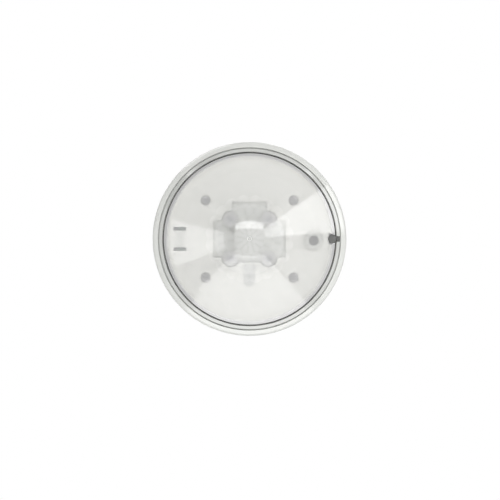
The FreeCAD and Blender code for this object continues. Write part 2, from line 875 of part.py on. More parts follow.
def make_back_chips():
    def chip(label, x, y, width, depth, height):
        half_x, half_y = width / 2, depth / 2
        keep(label, block(label, (x - half_x, y - half_y, board_top), (x + half_x, y + half_y, board_top + height)))
    chip("microcontroller", ZERO, d.controller_y, d.controller_width, d.controller_width, d.controller_height)
    chip("bus_transceiver", ZERO, d.transceiver_y, d.transceiver_width, d.transceiver_width,
         d.transceiver_height)
    chip("choke", d.choke_x, ZERO, d.choke_width, d.choke_width, d.choke_height)
    chip("crystal", d.crystal_x, d.controller_y, d.crystal_length, d.crystal_width, d.crystal_height)
    can = rod("buffer_capacitor", d.capacitor_x, ZERO, board_top, board_top + d.capacitor_height,
              d.capacitor_radius)
    keep("buffer_capacitor", can)


make_back_shell()
make_trim_ring()
make_lens_cap()
make_lens_seal()
make_sensor_frame()
make_frame_screws()
make_main_board()
make_sensor_holder()
for corner_name, (corner_x, corner_y) in zip(CORNER_NAMES, can_places()):
    make_pyro_sensor(corner_name, corner_x, corner_y)
make_light_guide()
make_receiver()
make_front_chips()
make_button()
make_posts()
make_terminal_socket()
for colour, side in POLES.items():
    make_terminal_pole(colour, side)
make_bus_pins()
make_back_chips()
doc.recompute()

for item in doc.Objects:
    if "Invalid" in item.State or "Error" in item.State:
        raise RuntimeError(f"{item.Label} failed: {item.State}")

os.makedirs("parts", exist_ok=True)
for label, item in pieces.items():
    if item.Shape.isNull() or not item.Shape.isValid():
        raise RuntimeError(f"{label} has no valid shape")
    item.Shape.exportStep(f"parts/{label}.step")
    print(f"{label}: {len(item.Shape.Solids)} solid(s), {item.Shape.Volume:.1f} mm3")
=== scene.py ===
import json
import math

import bpy
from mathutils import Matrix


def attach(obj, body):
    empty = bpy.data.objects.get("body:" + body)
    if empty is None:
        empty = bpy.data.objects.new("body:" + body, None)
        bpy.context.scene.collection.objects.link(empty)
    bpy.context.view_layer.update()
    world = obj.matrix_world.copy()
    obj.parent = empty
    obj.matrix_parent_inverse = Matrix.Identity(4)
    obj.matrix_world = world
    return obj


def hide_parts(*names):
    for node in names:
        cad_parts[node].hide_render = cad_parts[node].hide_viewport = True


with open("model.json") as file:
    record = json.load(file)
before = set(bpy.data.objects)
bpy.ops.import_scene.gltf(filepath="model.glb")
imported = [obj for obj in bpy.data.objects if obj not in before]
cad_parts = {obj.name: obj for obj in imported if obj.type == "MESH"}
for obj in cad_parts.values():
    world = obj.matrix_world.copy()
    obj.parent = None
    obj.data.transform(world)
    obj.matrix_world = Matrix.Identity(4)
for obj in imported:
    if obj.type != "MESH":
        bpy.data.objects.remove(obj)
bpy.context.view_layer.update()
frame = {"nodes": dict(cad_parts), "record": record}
nodes = frame["nodes"]
print("frame loaded:", len(nodes), "nodes")


# helpers for modelling; sizes are in millimetres where no comment says metres

past = 1  # how far a cutter goes past the face that it opens
weld = {"points": 0.002, "beforeBevel": 0.01, "afterBevel": 0.001}
samePlace = 1e-6  # in metres


def mm(*values):
    scaled = [value / 1000 for value in values]
    return scaled[0] if len(scaled) == 1 else tuple(scaled)


def clearSelection():
    bpy.ops.object.select_all(action="DESELECT")


def pick(piece):
    clearSelection()
    piece.select_set(True)
    bpy.context.view_layer.objects.active = piece


def settle(piece):
    pick(piece)
    bpy.ops.object.transform_apply(location=True, rotation=True, scale=True)


def newPiece(name):
    piece = bpy.context.active_object
    piece.name = name
    piece.data.name = name
    settle(piece)
    return piece


def turn(name, stations, sides=192, close="fill", centre=(0, 0)):
    # a ring of points, pulled along the axis and widened or narrowed at each station
    clearSelection()
    radius, level = stations[0]
    bpy.ops.mesh.primitive_circle_add(vertices=sides, radius=mm(radius), location=(0, 0, mm(level)))
    piece = newPiece(name)
    bpy.ops.object.mode_set(mode="EDIT")
    bpy.ops.mesh.select_all(action="SELECT")
    for nextRadius, nextLevel in stations[1:]:
        bpy.ops.mesh.extrude_edges_move(TRANSFORM_OT_translate={"value": (0, 0, mm(nextLevel - level))})
        widen = nextRadius / radius
        bpy.ops.transform.resize(value=(widen, widen, 1), center_override=(0, 0, mm(nextLevel)))
        radius, level = nextRadius, nextLevel
    if close == "pole":
        bpy.ops.mesh.merge(type="CENTER")
    bpy.ops.mesh.select_all(action="SELECT")
    bpy.ops.mesh.remove_doubles(threshold=mm(weld["points"]))
    if close == "fill":
        bpy.ops.mesh.fill_holes(sides=0)
        bpy.ops.mesh.select_all(action="SELECT")
    bpy.ops.mesh.normals_make_consistent(inside=False)
    if centre != (0, 0):
        bpy.ops.transform.translate(value=(mm(centre[0]), mm(centre[1]), 0))
    bpy.ops.object.mode_set(mode="OBJECT")
    return piece


def box(name, low, high):
    clearSelection()
    middle = [mm(a + b) / 2 for a, b in zip(low, high)]
    size = [mm(b - a) for a, b in zip(low, high)]
    bpy.ops.mesh.primitive_cube_add(size=1, location=middle, scale=size)
    return newPiece(name)


def apply(piece, kind, **values):
    pick(piece)
    modifier = piece.modifiers.new(kind.lower(), kind)
    for key, value in values.items():
        setattr(modifier, key, value)
    bpy.ops.object.modifier_apply(modifier=modifier.name)


def carve(piece, *cutters):
    for cutter in cutters:
        apply(piece, "BOOLEAN", operation="DIFFERENCE", solver="EXACT", object=cutter)
        bpy.data.objects.remove(cutter)


def joinPieces(piece, *others):
    for other in others:
        apply(piece, "BOOLEAN", operation="UNION", solver="EXACT", object=other)
        bpy.data.objects.remove(other)


def smoothFaces(piece, angle):
    pick(piece)
    bpy.ops.object.shade_smooth_by_angle(angle=math.radians(angle))
    apply(piece, "WEIGHTED_NORMAL", mode="FACE_AREA", weight=50, keep_sharp=True)


def mergeClose(piece, distance):
    # joins points closer than the distance, and drops the faces that vanish with them
    pick(piece)
    bpy.ops.object.mode_set(mode="EDIT")
    bpy.ops.mesh.select_all(action="SELECT")
    bpy.ops.mesh.remove_doubles(threshold=mm(distance))
    bpy.ops.mesh.dissolve_degenerate(threshold=mm(distance))
    bpy.ops.object.mode_set(mode="OBJECT")


def soften(piece, width, angle=30, segments=3, smooth=35):
    # rounded edges, as a mould leaves them
    mergeClose(piece, weld["beforeBevel"])
    apply(piece, "BEVEL", width=mm(width), segments=segments, limit_method="ANGLE",
          angle_limit=math.radians(angle), use_clamp_overlap=True)
    mergeClose(piece, weld["afterBevel"])
    smoothFaces(piece, smooth)


def roundEdges(piece, width, segments, **places):
    # bevels the edges whose ends both lie at the given coordinates
    for vertex in piece.data.vertices:
        vertex.select = False
    for face in piece.data.polygons:
        face.select = False
    for edge in piece.data.edges:
        ends = [piece.data.vertices[number].co for number in edge.vertices]
        edge.select = all(abs(getattr(end, axis) - mm(value)) < samePlace for end in ends
                          for axis, value in places.items())
    pick(piece)
    bpy.ops.object.mode_set(mode="EDIT")
    bpy.ops.mesh.select_mode(type="EDGE")
    bpy.ops.mesh.bevel(offset=mm(width), segments=segments)
    bpy.ops.object.mode_set(mode="OBJECT")


def copyPiece(piece, name, shift=(0, 0, 0), spin=0, about=(0, 0, 0)):
    pick(piece)
    bpy.ops.object.duplicate(linked=False)
    copied = bpy.context.active_object
    copied.name = name
    copied.data.name = name
    bpy.ops.object.mode_set(mode="EDIT")
    bpy.ops.mesh.select_all(action="SELECT")
    if spin:
        bpy.ops.transform.rotate(value=math.radians(spin), orient_axis="Z", center_override=mm(*about))
    bpy.ops.transform.translate(value=mm(*shift))
    bpy.ops.object.mode_set(mode="OBJECT")
    return copied


def fromFrame(node, name):
    # a copy of a solid with its loose triangles joined into clean faces
    pick(nodes[node])
    bpy.ops.object.duplicate(linked=False)
    piece = bpy.context.active_object
    for key in list(piece.keys()):
        del piece[key]
    piece.parent = None
    piece.name = name
    piece.data.name = name
    bpy.ops.object.mode_set(mode="EDIT")
    bpy.ops.mesh.select_all(action="SELECT")
    bpy.ops.mesh.remove_doubles(threshold=mm(weld["points"]))
    bpy.ops.mesh.dissolve_limited(angle_limit=math.radians(2))
    bpy.ops.object.mode_set(mode="OBJECT")
    return piece


def dress(piece, body, slot, *replaced):
    piece.data.materials.clear()
    piece.data.materials.append(finish[slot])
    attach(piece, body)
    if replaced:
        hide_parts(*replaced)


# node helpers and the effects that several finishes share

def link(tree, start, end):
    tree.links.new(start, end)


def addNode(tree, kind, **values):
    node = tree.nodes.new(kind)
    for key, value in values.items():
        setattr(node, key, value)
    return node


def calc(tree, operation, first, second=None, third=None):
    node = addNode(tree, "ShaderNodeMath", operation=operation)
    for socket, value in zip(node.inputs, (first, second, third)):
        if value is None:
            continue
        if isinstance(value, (int, float)):
            socket.default_value = value
        else:
            link(tree, value, socket)
    return node.outputs[0]


def ramp(tree, value, fromMin, fromMax, toMin, toMax):
    node = addNode(tree, "ShaderNodeMapRange")
    node.interpolation_type = "SMOOTHSTEP"
    link(tree, value, node.inputs["Value"])
    for socket, number in zip(("From Min", "From Max", "To Min", "To Max"), (fromMin, fromMax, toMin, toMax)):
        if isinstance(number, (int, float)):
            node.inputs[socket].default_value = number
        else:
            link(tree, number, node.inputs[socket])
    return node.outputs["Result"]


def blendColors(tree, factor, first, second):
    node = addNode(tree, "ShaderNodeMix", data_type="RGBA")
    for socket, value in ((node.inputs[0], factor), (node.inputs[6], first), (node.inputs[7], second)):
        if isinstance(value, (int, float, tuple)):
            socket.default_value = value
        else:
            link(tree, value, socket)
    return node.outputs[2]


def newGroup(name, inputs, outputs):
    tree = bpy.data.node_groups.new(name, "ShaderNodeTree")
    for label, kind, start in inputs:
        socket = tree.interface.new_socket(label, in_out="INPUT", socket_type="NodeSocket" + kind)
        socket.default_value = start
    for label, kind in outputs:
        tree.interface.new_socket(label, in_out="OUTPUT", socket_type="NodeSocket" + kind)
    return tree, tree.nodes.new("NodeGroupInput"), tree.nodes.new("NodeGroupOutput")


def mouldedGroup():
    # clouded colour, uneven gloss and fine grain of a moulded surface
    tree, start, end = newGroup("mouldedSurface", [
        ("Light", "Color", (0.8, 0.8, 0.8, 1)), ("Dark", "Color", (0.7, 0.7, 0.7, 1)),
        ("Cloud Scale", "Float", 60), ("Grain Scale", "Float", 1800),
        ("Low Gloss", "Float", 0.3), ("High Gloss", "Float", 0.4)],
        [("Color", "Color"), ("Roughness", "Float"), ("Height", "Float")])
    place = addNode(tree, "ShaderNodeTexCoord").outputs["Object"]
    cloud = addNode(tree, "ShaderNodeTexNoise")
    grain = addNode(tree, "ShaderNodeTexNoise")
    cloud.inputs["Detail"].default_value = 3
    grain.inputs["Detail"].default_value = 2
    for texture, scale in ((cloud, "Cloud Scale"), (grain, "Grain Scale")):
        link(tree, place, texture.inputs["Vector"])
        link(tree, start.outputs[scale], texture.inputs["Scale"])
    grainShare = 0.3
    patch = ramp(tree, cloud.outputs["Fac"], 0.35, 0.65, 0, 1)
    link(tree, blendColors(tree, patch, start.outputs["Light"], start.outputs["Dark"]), end.inputs["Color"])
    speck = calc(tree, "MULTIPLY_ADD", grain.outputs["Fac"], grainShare, patch)
    gloss = ramp(tree, speck, 0, 1 + grainShare, start.outputs["Low Gloss"], start.outputs["High Gloss"])
    link(tree, gloss, end.inputs["Roughness"])
    link(tree, grain.outputs["Fac"], end.inputs["Height"])
    return tree


def turnedGroup():
    # fine rings about a vertical axis, as on a drawn or turned metal face
    tree, start, end = newGroup("turnedMetal", [
        ("Light", "Color", (0.7, 0.7, 0.7, 1)), ("Dark", "Color", (0.5, 0.5, 0.5, 1)),
        ("Line Scale", "Float", 900), ("Low Gloss", "Float", 0.22), ("High Gloss", "Float", 0.42)],
        [("Color", "Color"), ("Roughness", "Float"), ("Height", "Float")])
    place = addNode(tree, "ShaderNodeTexCoord").outputs["Object"]
    stretch = addNode(tree, "ShaderNodeMapping")
    stretch.inputs["Scale"].default_value = (1, 1, 8)
    link(tree, place, stretch.inputs["Vector"])
    scratch = addNode(tree, "ShaderNodeTexNoise")
    scratch.inputs["Detail"].default_value = 4
    link(tree, stretch.outputs["Vector"], scratch.inputs["Vector"])
    link(tree, start.outputs["Line Scale"], scratch.inputs["Scale"])
    patch = ramp(tree, scratch.outputs["Fac"], 0.3, 0.7, 0, 1)
    link(tree, blendColors(tree, patch, start.outputs["Light"], start.outputs["Dark"]), end.inputs["Color"])
    gloss = ramp(tree, patch, 0, 1, start.outputs["Low Gloss"], start.outputs["High Gloss"])
    link(tree, gloss, end.inputs["Roughness"])
    link(tree, patch, end.inputs["Height"])
    return tree


def awayFromAxis(tree, place):
    # x and y of a place in metres, and its distance from the Z axis in millimetres
    split = addNode(tree, "ShaderNodeSeparateXYZ")
    link(tree, place, split.inputs[0])
    x, y = split.outputs[0], split.outputs[1]
    square = calc(tree, "ADD", calc(tree, "MULTIPLY", x, x), calc(tree, "MULTIPLY", y, y))
    return x, y, calc(tree, "MULTIPLY", calc(tree, "SQRT", square), 1000)


def rowGroup():
    # one row of lens segments: scalloped outer edges and the walls between the segments
    tree, start, end = newGroup("segmentRow", [
        ("Radius", "Float", 0), ("Angle", "Float", 0), ("Count", "Float", 16), ("Phase", "Float", 0),
        ("Outer", "Float", 20), ("Inner", "Float", 15), ("Rise", "Float", 1.5), ("Line", "Float", 0.25),
        ("Wall", "Float", 0.5), ("Strength", "Float", 1)],
        [("Lines", "Float"), ("Hollow", "Float")])
    radius = start.outputs["Radius"]
    step = calc(tree, "MULTIPLY_ADD", start.outputs["Angle"], start.outputs["Count"], start.outputs["Phase"])
    across = calc(tree, "MULTIPLY_ADD", calc(tree, "FRACT", step), 2, -1)
    bow = calc(tree, "SUBTRACT", 1, calc(tree, "MULTIPLY", across, across))
    edge = calc(tree, "MULTIPLY_ADD", bow, start.outputs["Rise"], start.outputs["Outer"])
    away = calc(tree, "ABSOLUTE", calc(tree, "SUBTRACT", radius, edge))
    top = ramp(tree, away, 0, start.outputs["Line"], 1, 0)
    inside = calc(tree, "MULTIPLY", calc(tree, "LESS_THAN", radius, edge),
                  calc(tree, "GREATER_THAN", radius, start.outputs["Inner"]))
    wall = ramp(tree, calc(tree, "ABSOLUTE", across), 0.88, 1, 0, start.outputs["Wall"])
    drawn = calc(tree, "MAXIMUM", top, calc(tree, "MULTIPLY", wall, inside))
    link(tree, calc(tree, "MULTIPLY", drawn, start.outputs["Strength"]), end.inputs["Lines"])
    hollow = calc(tree, "MULTIPLY", bow, inside)
    link(tree, hollow, end.inputs["Hollow"])
    return tree


def segmentsGroup(v):
    # all rows together, with lines that fade here and there; the lines give the relief of the segment edges
    # and mark where highlights are painted on them
    tree, start, end = newGroup("lensSegments", [
        ("Line", "Float", 0.3), ("Wall", "Float", 0.5), ("Fade", "Float", 0.5)],
        [("Lines", "Float"), ("Cells", "Float"), ("Height", "Float"), ("Radius", "Float")])
    place = addNode(tree, "ShaderNodeTexCoord").outputs["Object"]
    x, y, radius = awayFromAxis(tree, place)
    angle = calc(tree, "MULTIPLY_ADD", calc(tree, "ARCTAN2", y, x), 0.5 / math.pi, 0.5)
    lines, height = None, None
    for values in v["rows"]:
        row = addNode(tree, "ShaderNodeGroup", node_tree=bpy.data.node_groups["segmentRow"])
        link(tree, radius, row.inputs["Radius"])
        link(tree, angle, row.inputs["Angle"])
        link(tree, start.outputs["Line"], row.inputs["Line"])
        link(tree, start.outputs["Wall"], row.inputs["Wall"])
        for label, value in zip(("Count", "Phase", "Outer", "Inner", "Rise", "Strength"), values):
            row.inputs[label].default_value = value
        lines = calc(tree, "MAXIMUM", lines, row.outputs["Lines"]) if lines else row.outputs["Lines"]
        height = calc(tree, "MAXIMUM", height, row.outputs["Hollow"]) if height else row.outputs["Hollow"]
    uneven = addNode(tree, "ShaderNodeTexNoise")
    uneven.inputs["Scale"].default_value = v["patchScale"]
    link(tree, place, uneven.inputs["Vector"])
    faded = ramp(tree, uneven.outputs["Fac"], v["patchLow"], v["patchHigh"], start.outputs["Fade"], 1)
    link(tree, calc(tree, "MULTIPLY", lines, faded), end.inputs["Lines"])
    link(tree, height, end.inputs["Cells"])
    link(tree, radius, end.inputs["Radius"])
    ridges = calc(tree, "MULTIPLY", lines, v["ridge"])
    link(tree, calc(tree, "SUBTRACT", ridges, height), end.inputs["Height"])
    return tree


moulded = mouldedGroup()
turned = turnedGroup()
rowGroup()
finish = {}


def newFinish(slot, group, values, bump=0.1, bumpDistance=0.05, **constants):
    material = bpy.data.materials.new(slot)
    material.use_nodes = True
    tree = material.node_tree
    shader = tree.nodes["Principled BSDF"]
    effect = addNode(tree, "ShaderNodeGroup", node_tree=group)
    for label, value in values.items():
        effect.inputs[label].default_value = value
    link(tree, effect.outputs["Color"], shader.inputs["Base Color"])
    link(tree, effect.outputs["Roughness"], shader.inputs["Roughness"])
    relief = addNode(tree, "ShaderNodeBump")
    relief.inputs["Strength"].default_value = bump
    relief.inputs["Distance"].default_value = mm(bumpDistance)
    link(tree, effect.outputs["Height"], relief.inputs["Height"])
    link(tree, relief.outputs["Normal"], shader.inputs["Normal"])
    for label, value in constants.items():
        shader.inputs[label.replace("_", " ")].default_value = value
    finish[slot] = material
    return tree, shader, effect, relief


def gray(level, warm=0.0):
    return (level, level, level * (1 - warm), 1)


plasticFinishes = {
    "shell_plastic": ((0.76, 0.77, 0.74, 1), (0.73, 0.74, 0.71, 1), 0.16, 0.26),
    "ring_plastic": ((0.77, 0.78, 0.75, 1), (0.74, 0.75, 0.72, 1), 0.12, 0.20),
    "frame_plastic": ((0.90, 0.90, 0.85, 1), (0.88, 0.88, 0.83, 1), 0.35, 0.50),
    "holder_plastic": ((0.73, 0.74, 0.695, 1), (0.69, 0.70, 0.655, 1), 0.30, 0.45),
    "post_plastic": ((0.80, 0.81, 0.76, 1), (0.77, 0.78, 0.73, 1), 0.28, 0.40),
    "socket_plastic": ((0.76, 0.77, 0.73, 1), (0.73, 0.74, 0.70, 1), 0.22, 0.34),
    "button_plastic": ((0.16, 0.16, 0.155, 1), (0.13, 0.13, 0.125, 1), 0.30, 0.42),
    "plunger_black": ((0.022, 0.022, 0.022, 1), (0.016, 0.016, 0.016, 1), 0.35, 0.50),
    "switch_black": ((0.030, 0.030, 0.030, 1), (0.022, 0.022, 0.022, 1), 0.35, 0.50),
    "terminal_black": ((0.012, 0.012, 0.012, 1), (0.009, 0.009, 0.009, 1), 0.18, 0.28),
    "terminal_red": ((0.42, 0.010, 0.013, 1), (0.36, 0.008, 0.010, 1), 0.18, 0.28),
    "chip_black": ((0.020, 0.020, 0.020, 1), (0.014, 0.014, 0.014, 1), 0.40, 0.55),
    "choke_ferrite": ((0.050, 0.050, 0.052, 1), (0.035, 0.035, 0.036, 1), 0.45, 0.65),
    "seal_rubber": ((0.155, 0.156, 0.152, 1), (0.130, 0.131, 0.128, 1), 0.50, 0.65),
    "receiver_black": ((0.020, 0.012, 0.016, 1), (0.014, 0.009, 0.012, 1), 0.08, 0.14),
    "sensor_clear": ((0.78, 0.76, 0.62, 1), (0.70, 0.68, 0.54, 1), 0.06, 0.12),
    "led_red": ((0.50, 0.03, 0.02, 1), (0.40, 0.02, 0.015, 1), 0.06, 0.12),
    "window_silicon": ((0.44, 0.44, 0.45, 1), (0.40, 0.40, 0.41, 1), 0.14, 0.24),
}
for slotName, (lightColor, darkColor, lowGloss, highGloss) in plasticFinishes.items():
    newFinish(slotName, moulded, {"Light": lightColor, "Dark": darkColor, "Low Gloss": lowGloss,
                                  "High Gloss": highGloss}, bump=0.06, bumpDistance=0.03)


def facingRamp(tree, near, far, straight, grazing):
    # a value for faces seen straight on, which turns to another where they are seen at a low angle
    facing = addNode(tree, "ShaderNodeLayerWeight")
    facing.inputs["Blend"].default_value = 0.5
    return ramp(tree, facing.outputs["Facing"], near, far, straight, grazing)


polish = {"roughness": 0.10, "ior": 1.7, "straight": 1.0, "grazing": 0.15, "near": 0.35, "far": 0.85}
terminalShine = 0.12


def addPolish(slot, v):
    tree = finish[slot].node_tree
    shader = tree.nodes["Principled BSDF"]
    shader.inputs["Specular IOR Level"].default_value = 0
    shader.inputs["Coat Roughness"].default_value = v["roughness"]
    shader.inputs["Coat IOR"].default_value = v["ior"]
    coat = facingRamp(tree, v["near"], v["far"], v["straight"], v["grazing"])
    link(tree, coat, shader.inputs["Coat Weight"])


addPolish("shell_plastic", polish)
addPolish("ring_plastic", polish)
for slotName in ("terminal_black", "terminal_red"):
    poleShader = finish[slotName].node_tree.nodes["Principled BSDF"]
    poleShader.inputs["Specular IOR Level"].default_value = terminalShine

metalFinishes = {
    "screw_steel": (gray(0.46), gray(0.40), 700, 0.32, 0.46),
    "contact_brass": ((0.72, 0.58, 0.30, 1), (0.62, 0.48, 0.23, 1), 1200, 0.22, 0.42),
    "pin_brass": ((0.75, 0.62, 0.33, 1), (0.64, 0.50, 0.25, 1), 1200, 0.22, 0.42),
    "can_metal": (gray(0.60, 0.03), gray(0.54, 0.03), 900, 0.42, 0.55),
    "header_metal": (gray(0.50, 0.06), gray(0.44, 0.06), 900, 0.40, 0.55),
    "capacitor_aluminium": (gray(0.74), gray(0.66), 800, 0.22, 0.42),
}
for slotName, (lightColor, darkColor, lineScale, lowGloss, highGloss) in metalFinishes.items():
    newFinish(slotName, turned, {"Light": lightColor, "Dark": darkColor, "Line Scale": lineScale,
                                 "Low Gloss": lowGloss, "High Gloss": highGloss},
              bump=0.10, bumpDistance=0.02, Metallic=1.0)
print("shared finishes ready:", len(finish))


# lens cap

lensCap = {
    "edgeRadius": 47.45, "skirtTop": -9.7, "edgeLevel": -12.36, "edgeRise": 0.15, "wall": 1.2,
    "flareRadius": 57.0, "flareStart": 37.0, "slope": 38.6, "tipRadius": 27.0,
    "flareSteps": 12, "coneSteps": 9, "tipSteps": 18,
    "gateRadius": 1.25, "gateDepth": 0.3, "gateTaper": 0.15, "gateFloor": 0.5,
    "segmentDepth": 0.25, "segmentReach": 0.4, "segmentFill": 0.84,
    "bowlShares": (1, 0.85, 0.65, 0.4, 0.12), "bowlSides": 24,
    "headX": 45.9, "headRadius": 2.55, "channel": 3.1, "channelEnd": 50, "notchLow": -20, "notchHigh": -8,
    # haze colours, and the white painted as highlights along the segment edges
    "haze": (0.63, 0.63, 0.63, 1), "hazeDark": (0.60, 0.60, 0.60, 1), "highlightWhite": (0.96, 0.96, 0.96, 1),
    "clouds": 25, "lowGloss": 0.14, "highGloss": 0.17, "bump": 0.12, "bumpDistance": 0.15,
    "coatRoughness": 0.07, "coatIor": 2.1, "near": 0.22, "far": 0.42, "coatFar": 0.50,
    "hazeFacing": 0.44, "farFace": 0.06, "hazeGrazing": 0.92, "hazeToLight": 0.2,
    "glossFacing": 1.0, "glossGrazing": 0.12, "rimStart": 45.2, "rimEnd": 46.2, "rimHaze": 0.80,
    "tipHazeStart": 18.0, "tipHazeEnd": 25.0, "tipHaze": 0.52,
    # lines and walls: width, strength by view angle and fading of the painted highlights; ridge gives their
    # relief, and the last value paints light inside each segment
    "lineWidth": 0.65, "lineFacing": 0.15, "lineGrazing": 0.9, "lineFade": 0.4, "wallStrength": 0.10,
    "patchScale": 75, "patchLow": 0.38, "patchHigh": 0.58, "ridge": 0.6, "cellPaintedLight": 0.16,
    "rows": (
        # segments, turn, outer and inner radius, height of the scallops, strength
        (20, 0.0, 22.2, 17.4, 1.9, 0.75), (20, 0.5, 16.9, 13.0, 1.2, 0.85), (12, 0.2, 12.2, 8.0, 1.4, 1.0),
        (12, 0.7, 7.2, 3.9, 1.1, 1.0), (6, 0.0, 3.4, 1.6, 0.6, 0.6), (1, 0.5, 1.3, 1.2, 0.0, 1.0),
    ),
}


def lensProfile(v):
    # slope of the cone, and the lens's flare, cone and round tip as centres and joins
    slope = math.radians(v["slope"])
    centreRadius = v["flareStart"] + v["flareRadius"] * math.sin(slope)
    edge = math.asin((centreRadius - v["edgeRadius"]) / v["flareRadius"])
    centreLevel = v["edgeLevel"] - v["flareRadius"] * math.cos(edge)
    tipJoin = v["tipRadius"] * math.sin(slope)
    coneLow = (centreLevel + v["flareRadius"] * math.cos(slope)
               - (v["flareStart"] - tipJoin) * math.tan(slope))
    tipCentre = coneLow + v["tipRadius"] * math.cos(slope)
    return {"slope": slope, "edge": edge, "centreRadius": centreRadius, "centreLevel": centreLevel,
            "tipJoin": tipJoin, "coneLow": coneLow, "tipCentre": tipCentre}


def lensStations(v):
    shape = lensProfile(v)
    slope, edge, tipJoin = shape["slope"], shape["edge"], shape["tipJoin"]
    stations = [(v["edgeRadius"], v["skirtTop"]), (v["edgeRadius"], v["edgeLevel"] + v["edgeRise"])]
    for step in range(v["flareSteps"] + 1):
        angle = edge + (slope - edge) * step / v["flareSteps"]
        stations.append((shape["centreRadius"] - v["flareRadius"] * math.sin(angle),
                         shape["centreLevel"] + v["flareRadius"] * math.cos(angle)))
    for step in range(1, v["coneSteps"] + 1):
        radius = v["flareStart"] + (tipJoin - v["flareStart"]) * step / v["coneSteps"]
        stations.append((radius, shape["coneLow"] + (radius - tipJoin) * math.tan(slope)))
    gateAngle = math.asin(v["gateRadius"] / v["tipRadius"])
    for step in range(1, v["tipSteps"] + 1):
        angle = slope + (gateAngle - slope) * step / v["tipSteps"]
        stations.append((v["tipRadius"] * math.sin(angle),
                         shape["tipCentre"] - v["tipRadius"] * math.cos(angle)))
    lowest = stations[-1][1] + v["gateDepth"]
    stations += [(v["gateRadius"] - v["gateTaper"], lowest), (v["gateFloor"], lowest)]
    return stations


def lensSegments(v):
    # one shallow hollow for each segment, sunk into the inner face; the row of one has no hollow and only
    # draws the gate's ring, as relief and painted highlight
    shape = lensProfile(v)
    slope, tipJoin = shape["slope"], shape["tipJoin"]
    depth, fill = v["segmentDepth"], v["segmentFill"]
    bowl = [(1, v["segmentReach"])]
    bowl += [(share, -depth * (1 - share * share)) for share in v["bowlShares"]]
    cutters = []
    for number, row in enumerate(v["rows"]):
        count, phase, outer, inner, rise = row[:5]
        if count == 1:
            continue
        radius, half = (outer + rise + inner) / 2, (outer + rise - inner) / 2
        if radius < tipJoin:
            tilt = math.asin(radius / v["tipRadius"])
            level = shape["tipCentre"] - v["tipRadius"] * math.cos(tilt)
        else:
            tilt = slope
            level = shape["coneLow"] + (radius - tipJoin) * math.tan(slope)
        within, level = radius - v["wall"] * math.sin(tilt), level + v["wall"] * math.cos(tilt)
        angle = ((0.5 - phase) / count - 0.5) * 2 * math.pi
        cutter = turn(f"segmentCutter{number}", bowl, sides=v["bowlSides"])
        cutter.scale = (half / math.cos(tilt) * fill, math.pi * within / count * fill, 1)
        cutter.rotation_euler = (0, -tilt, angle)
        cutter.location = mm(within * math.cos(angle), within * math.sin(angle), level)
        settle(cutter)
        cutters.append(cutter)
        for step in range(1, count):
            cutter = copyPiece(cutter, "segmentCutter")
            cutter.rotation_euler = (0, 0, 2 * math.pi / count)
            settle(cutter)
            cutters.append(cutter)
    clearSelection()
    for cutter in cutters:
        cutter.select_set(True)
    bpy.context.view_layer.objects.active = cutters[0]
    bpy.ops.object.join()
    return cutters[0]


def makeLensCap(v):
    piece = turn("lensCap", lensStations(v), close="pole")
    apply(piece, "SOLIDIFY", thickness=mm(v["wall"]), offset=-1, use_even_offset=True)
    head = turn("headCutter", [(v["headRadius"], v["notchLow"]), (v["headRadius"], v["notchHigh"])],
                sides=48, centre=(v["headX"], 0))
    half = v["channel"] / 2
    channel = box("channelCutter", (v["headX"], -half, v["notchLow"]),
                  (v["channelEnd"], half, v["notchHigh"]))
    carve(piece, head, channel)
    soften(piece, width=0.12, angle=50, segments=2, smooth=30)
    carve(piece, lensSegments(v))
    mergeClose(piece, weld["points"])
    smoothFaces(piece, 30)
    return piece


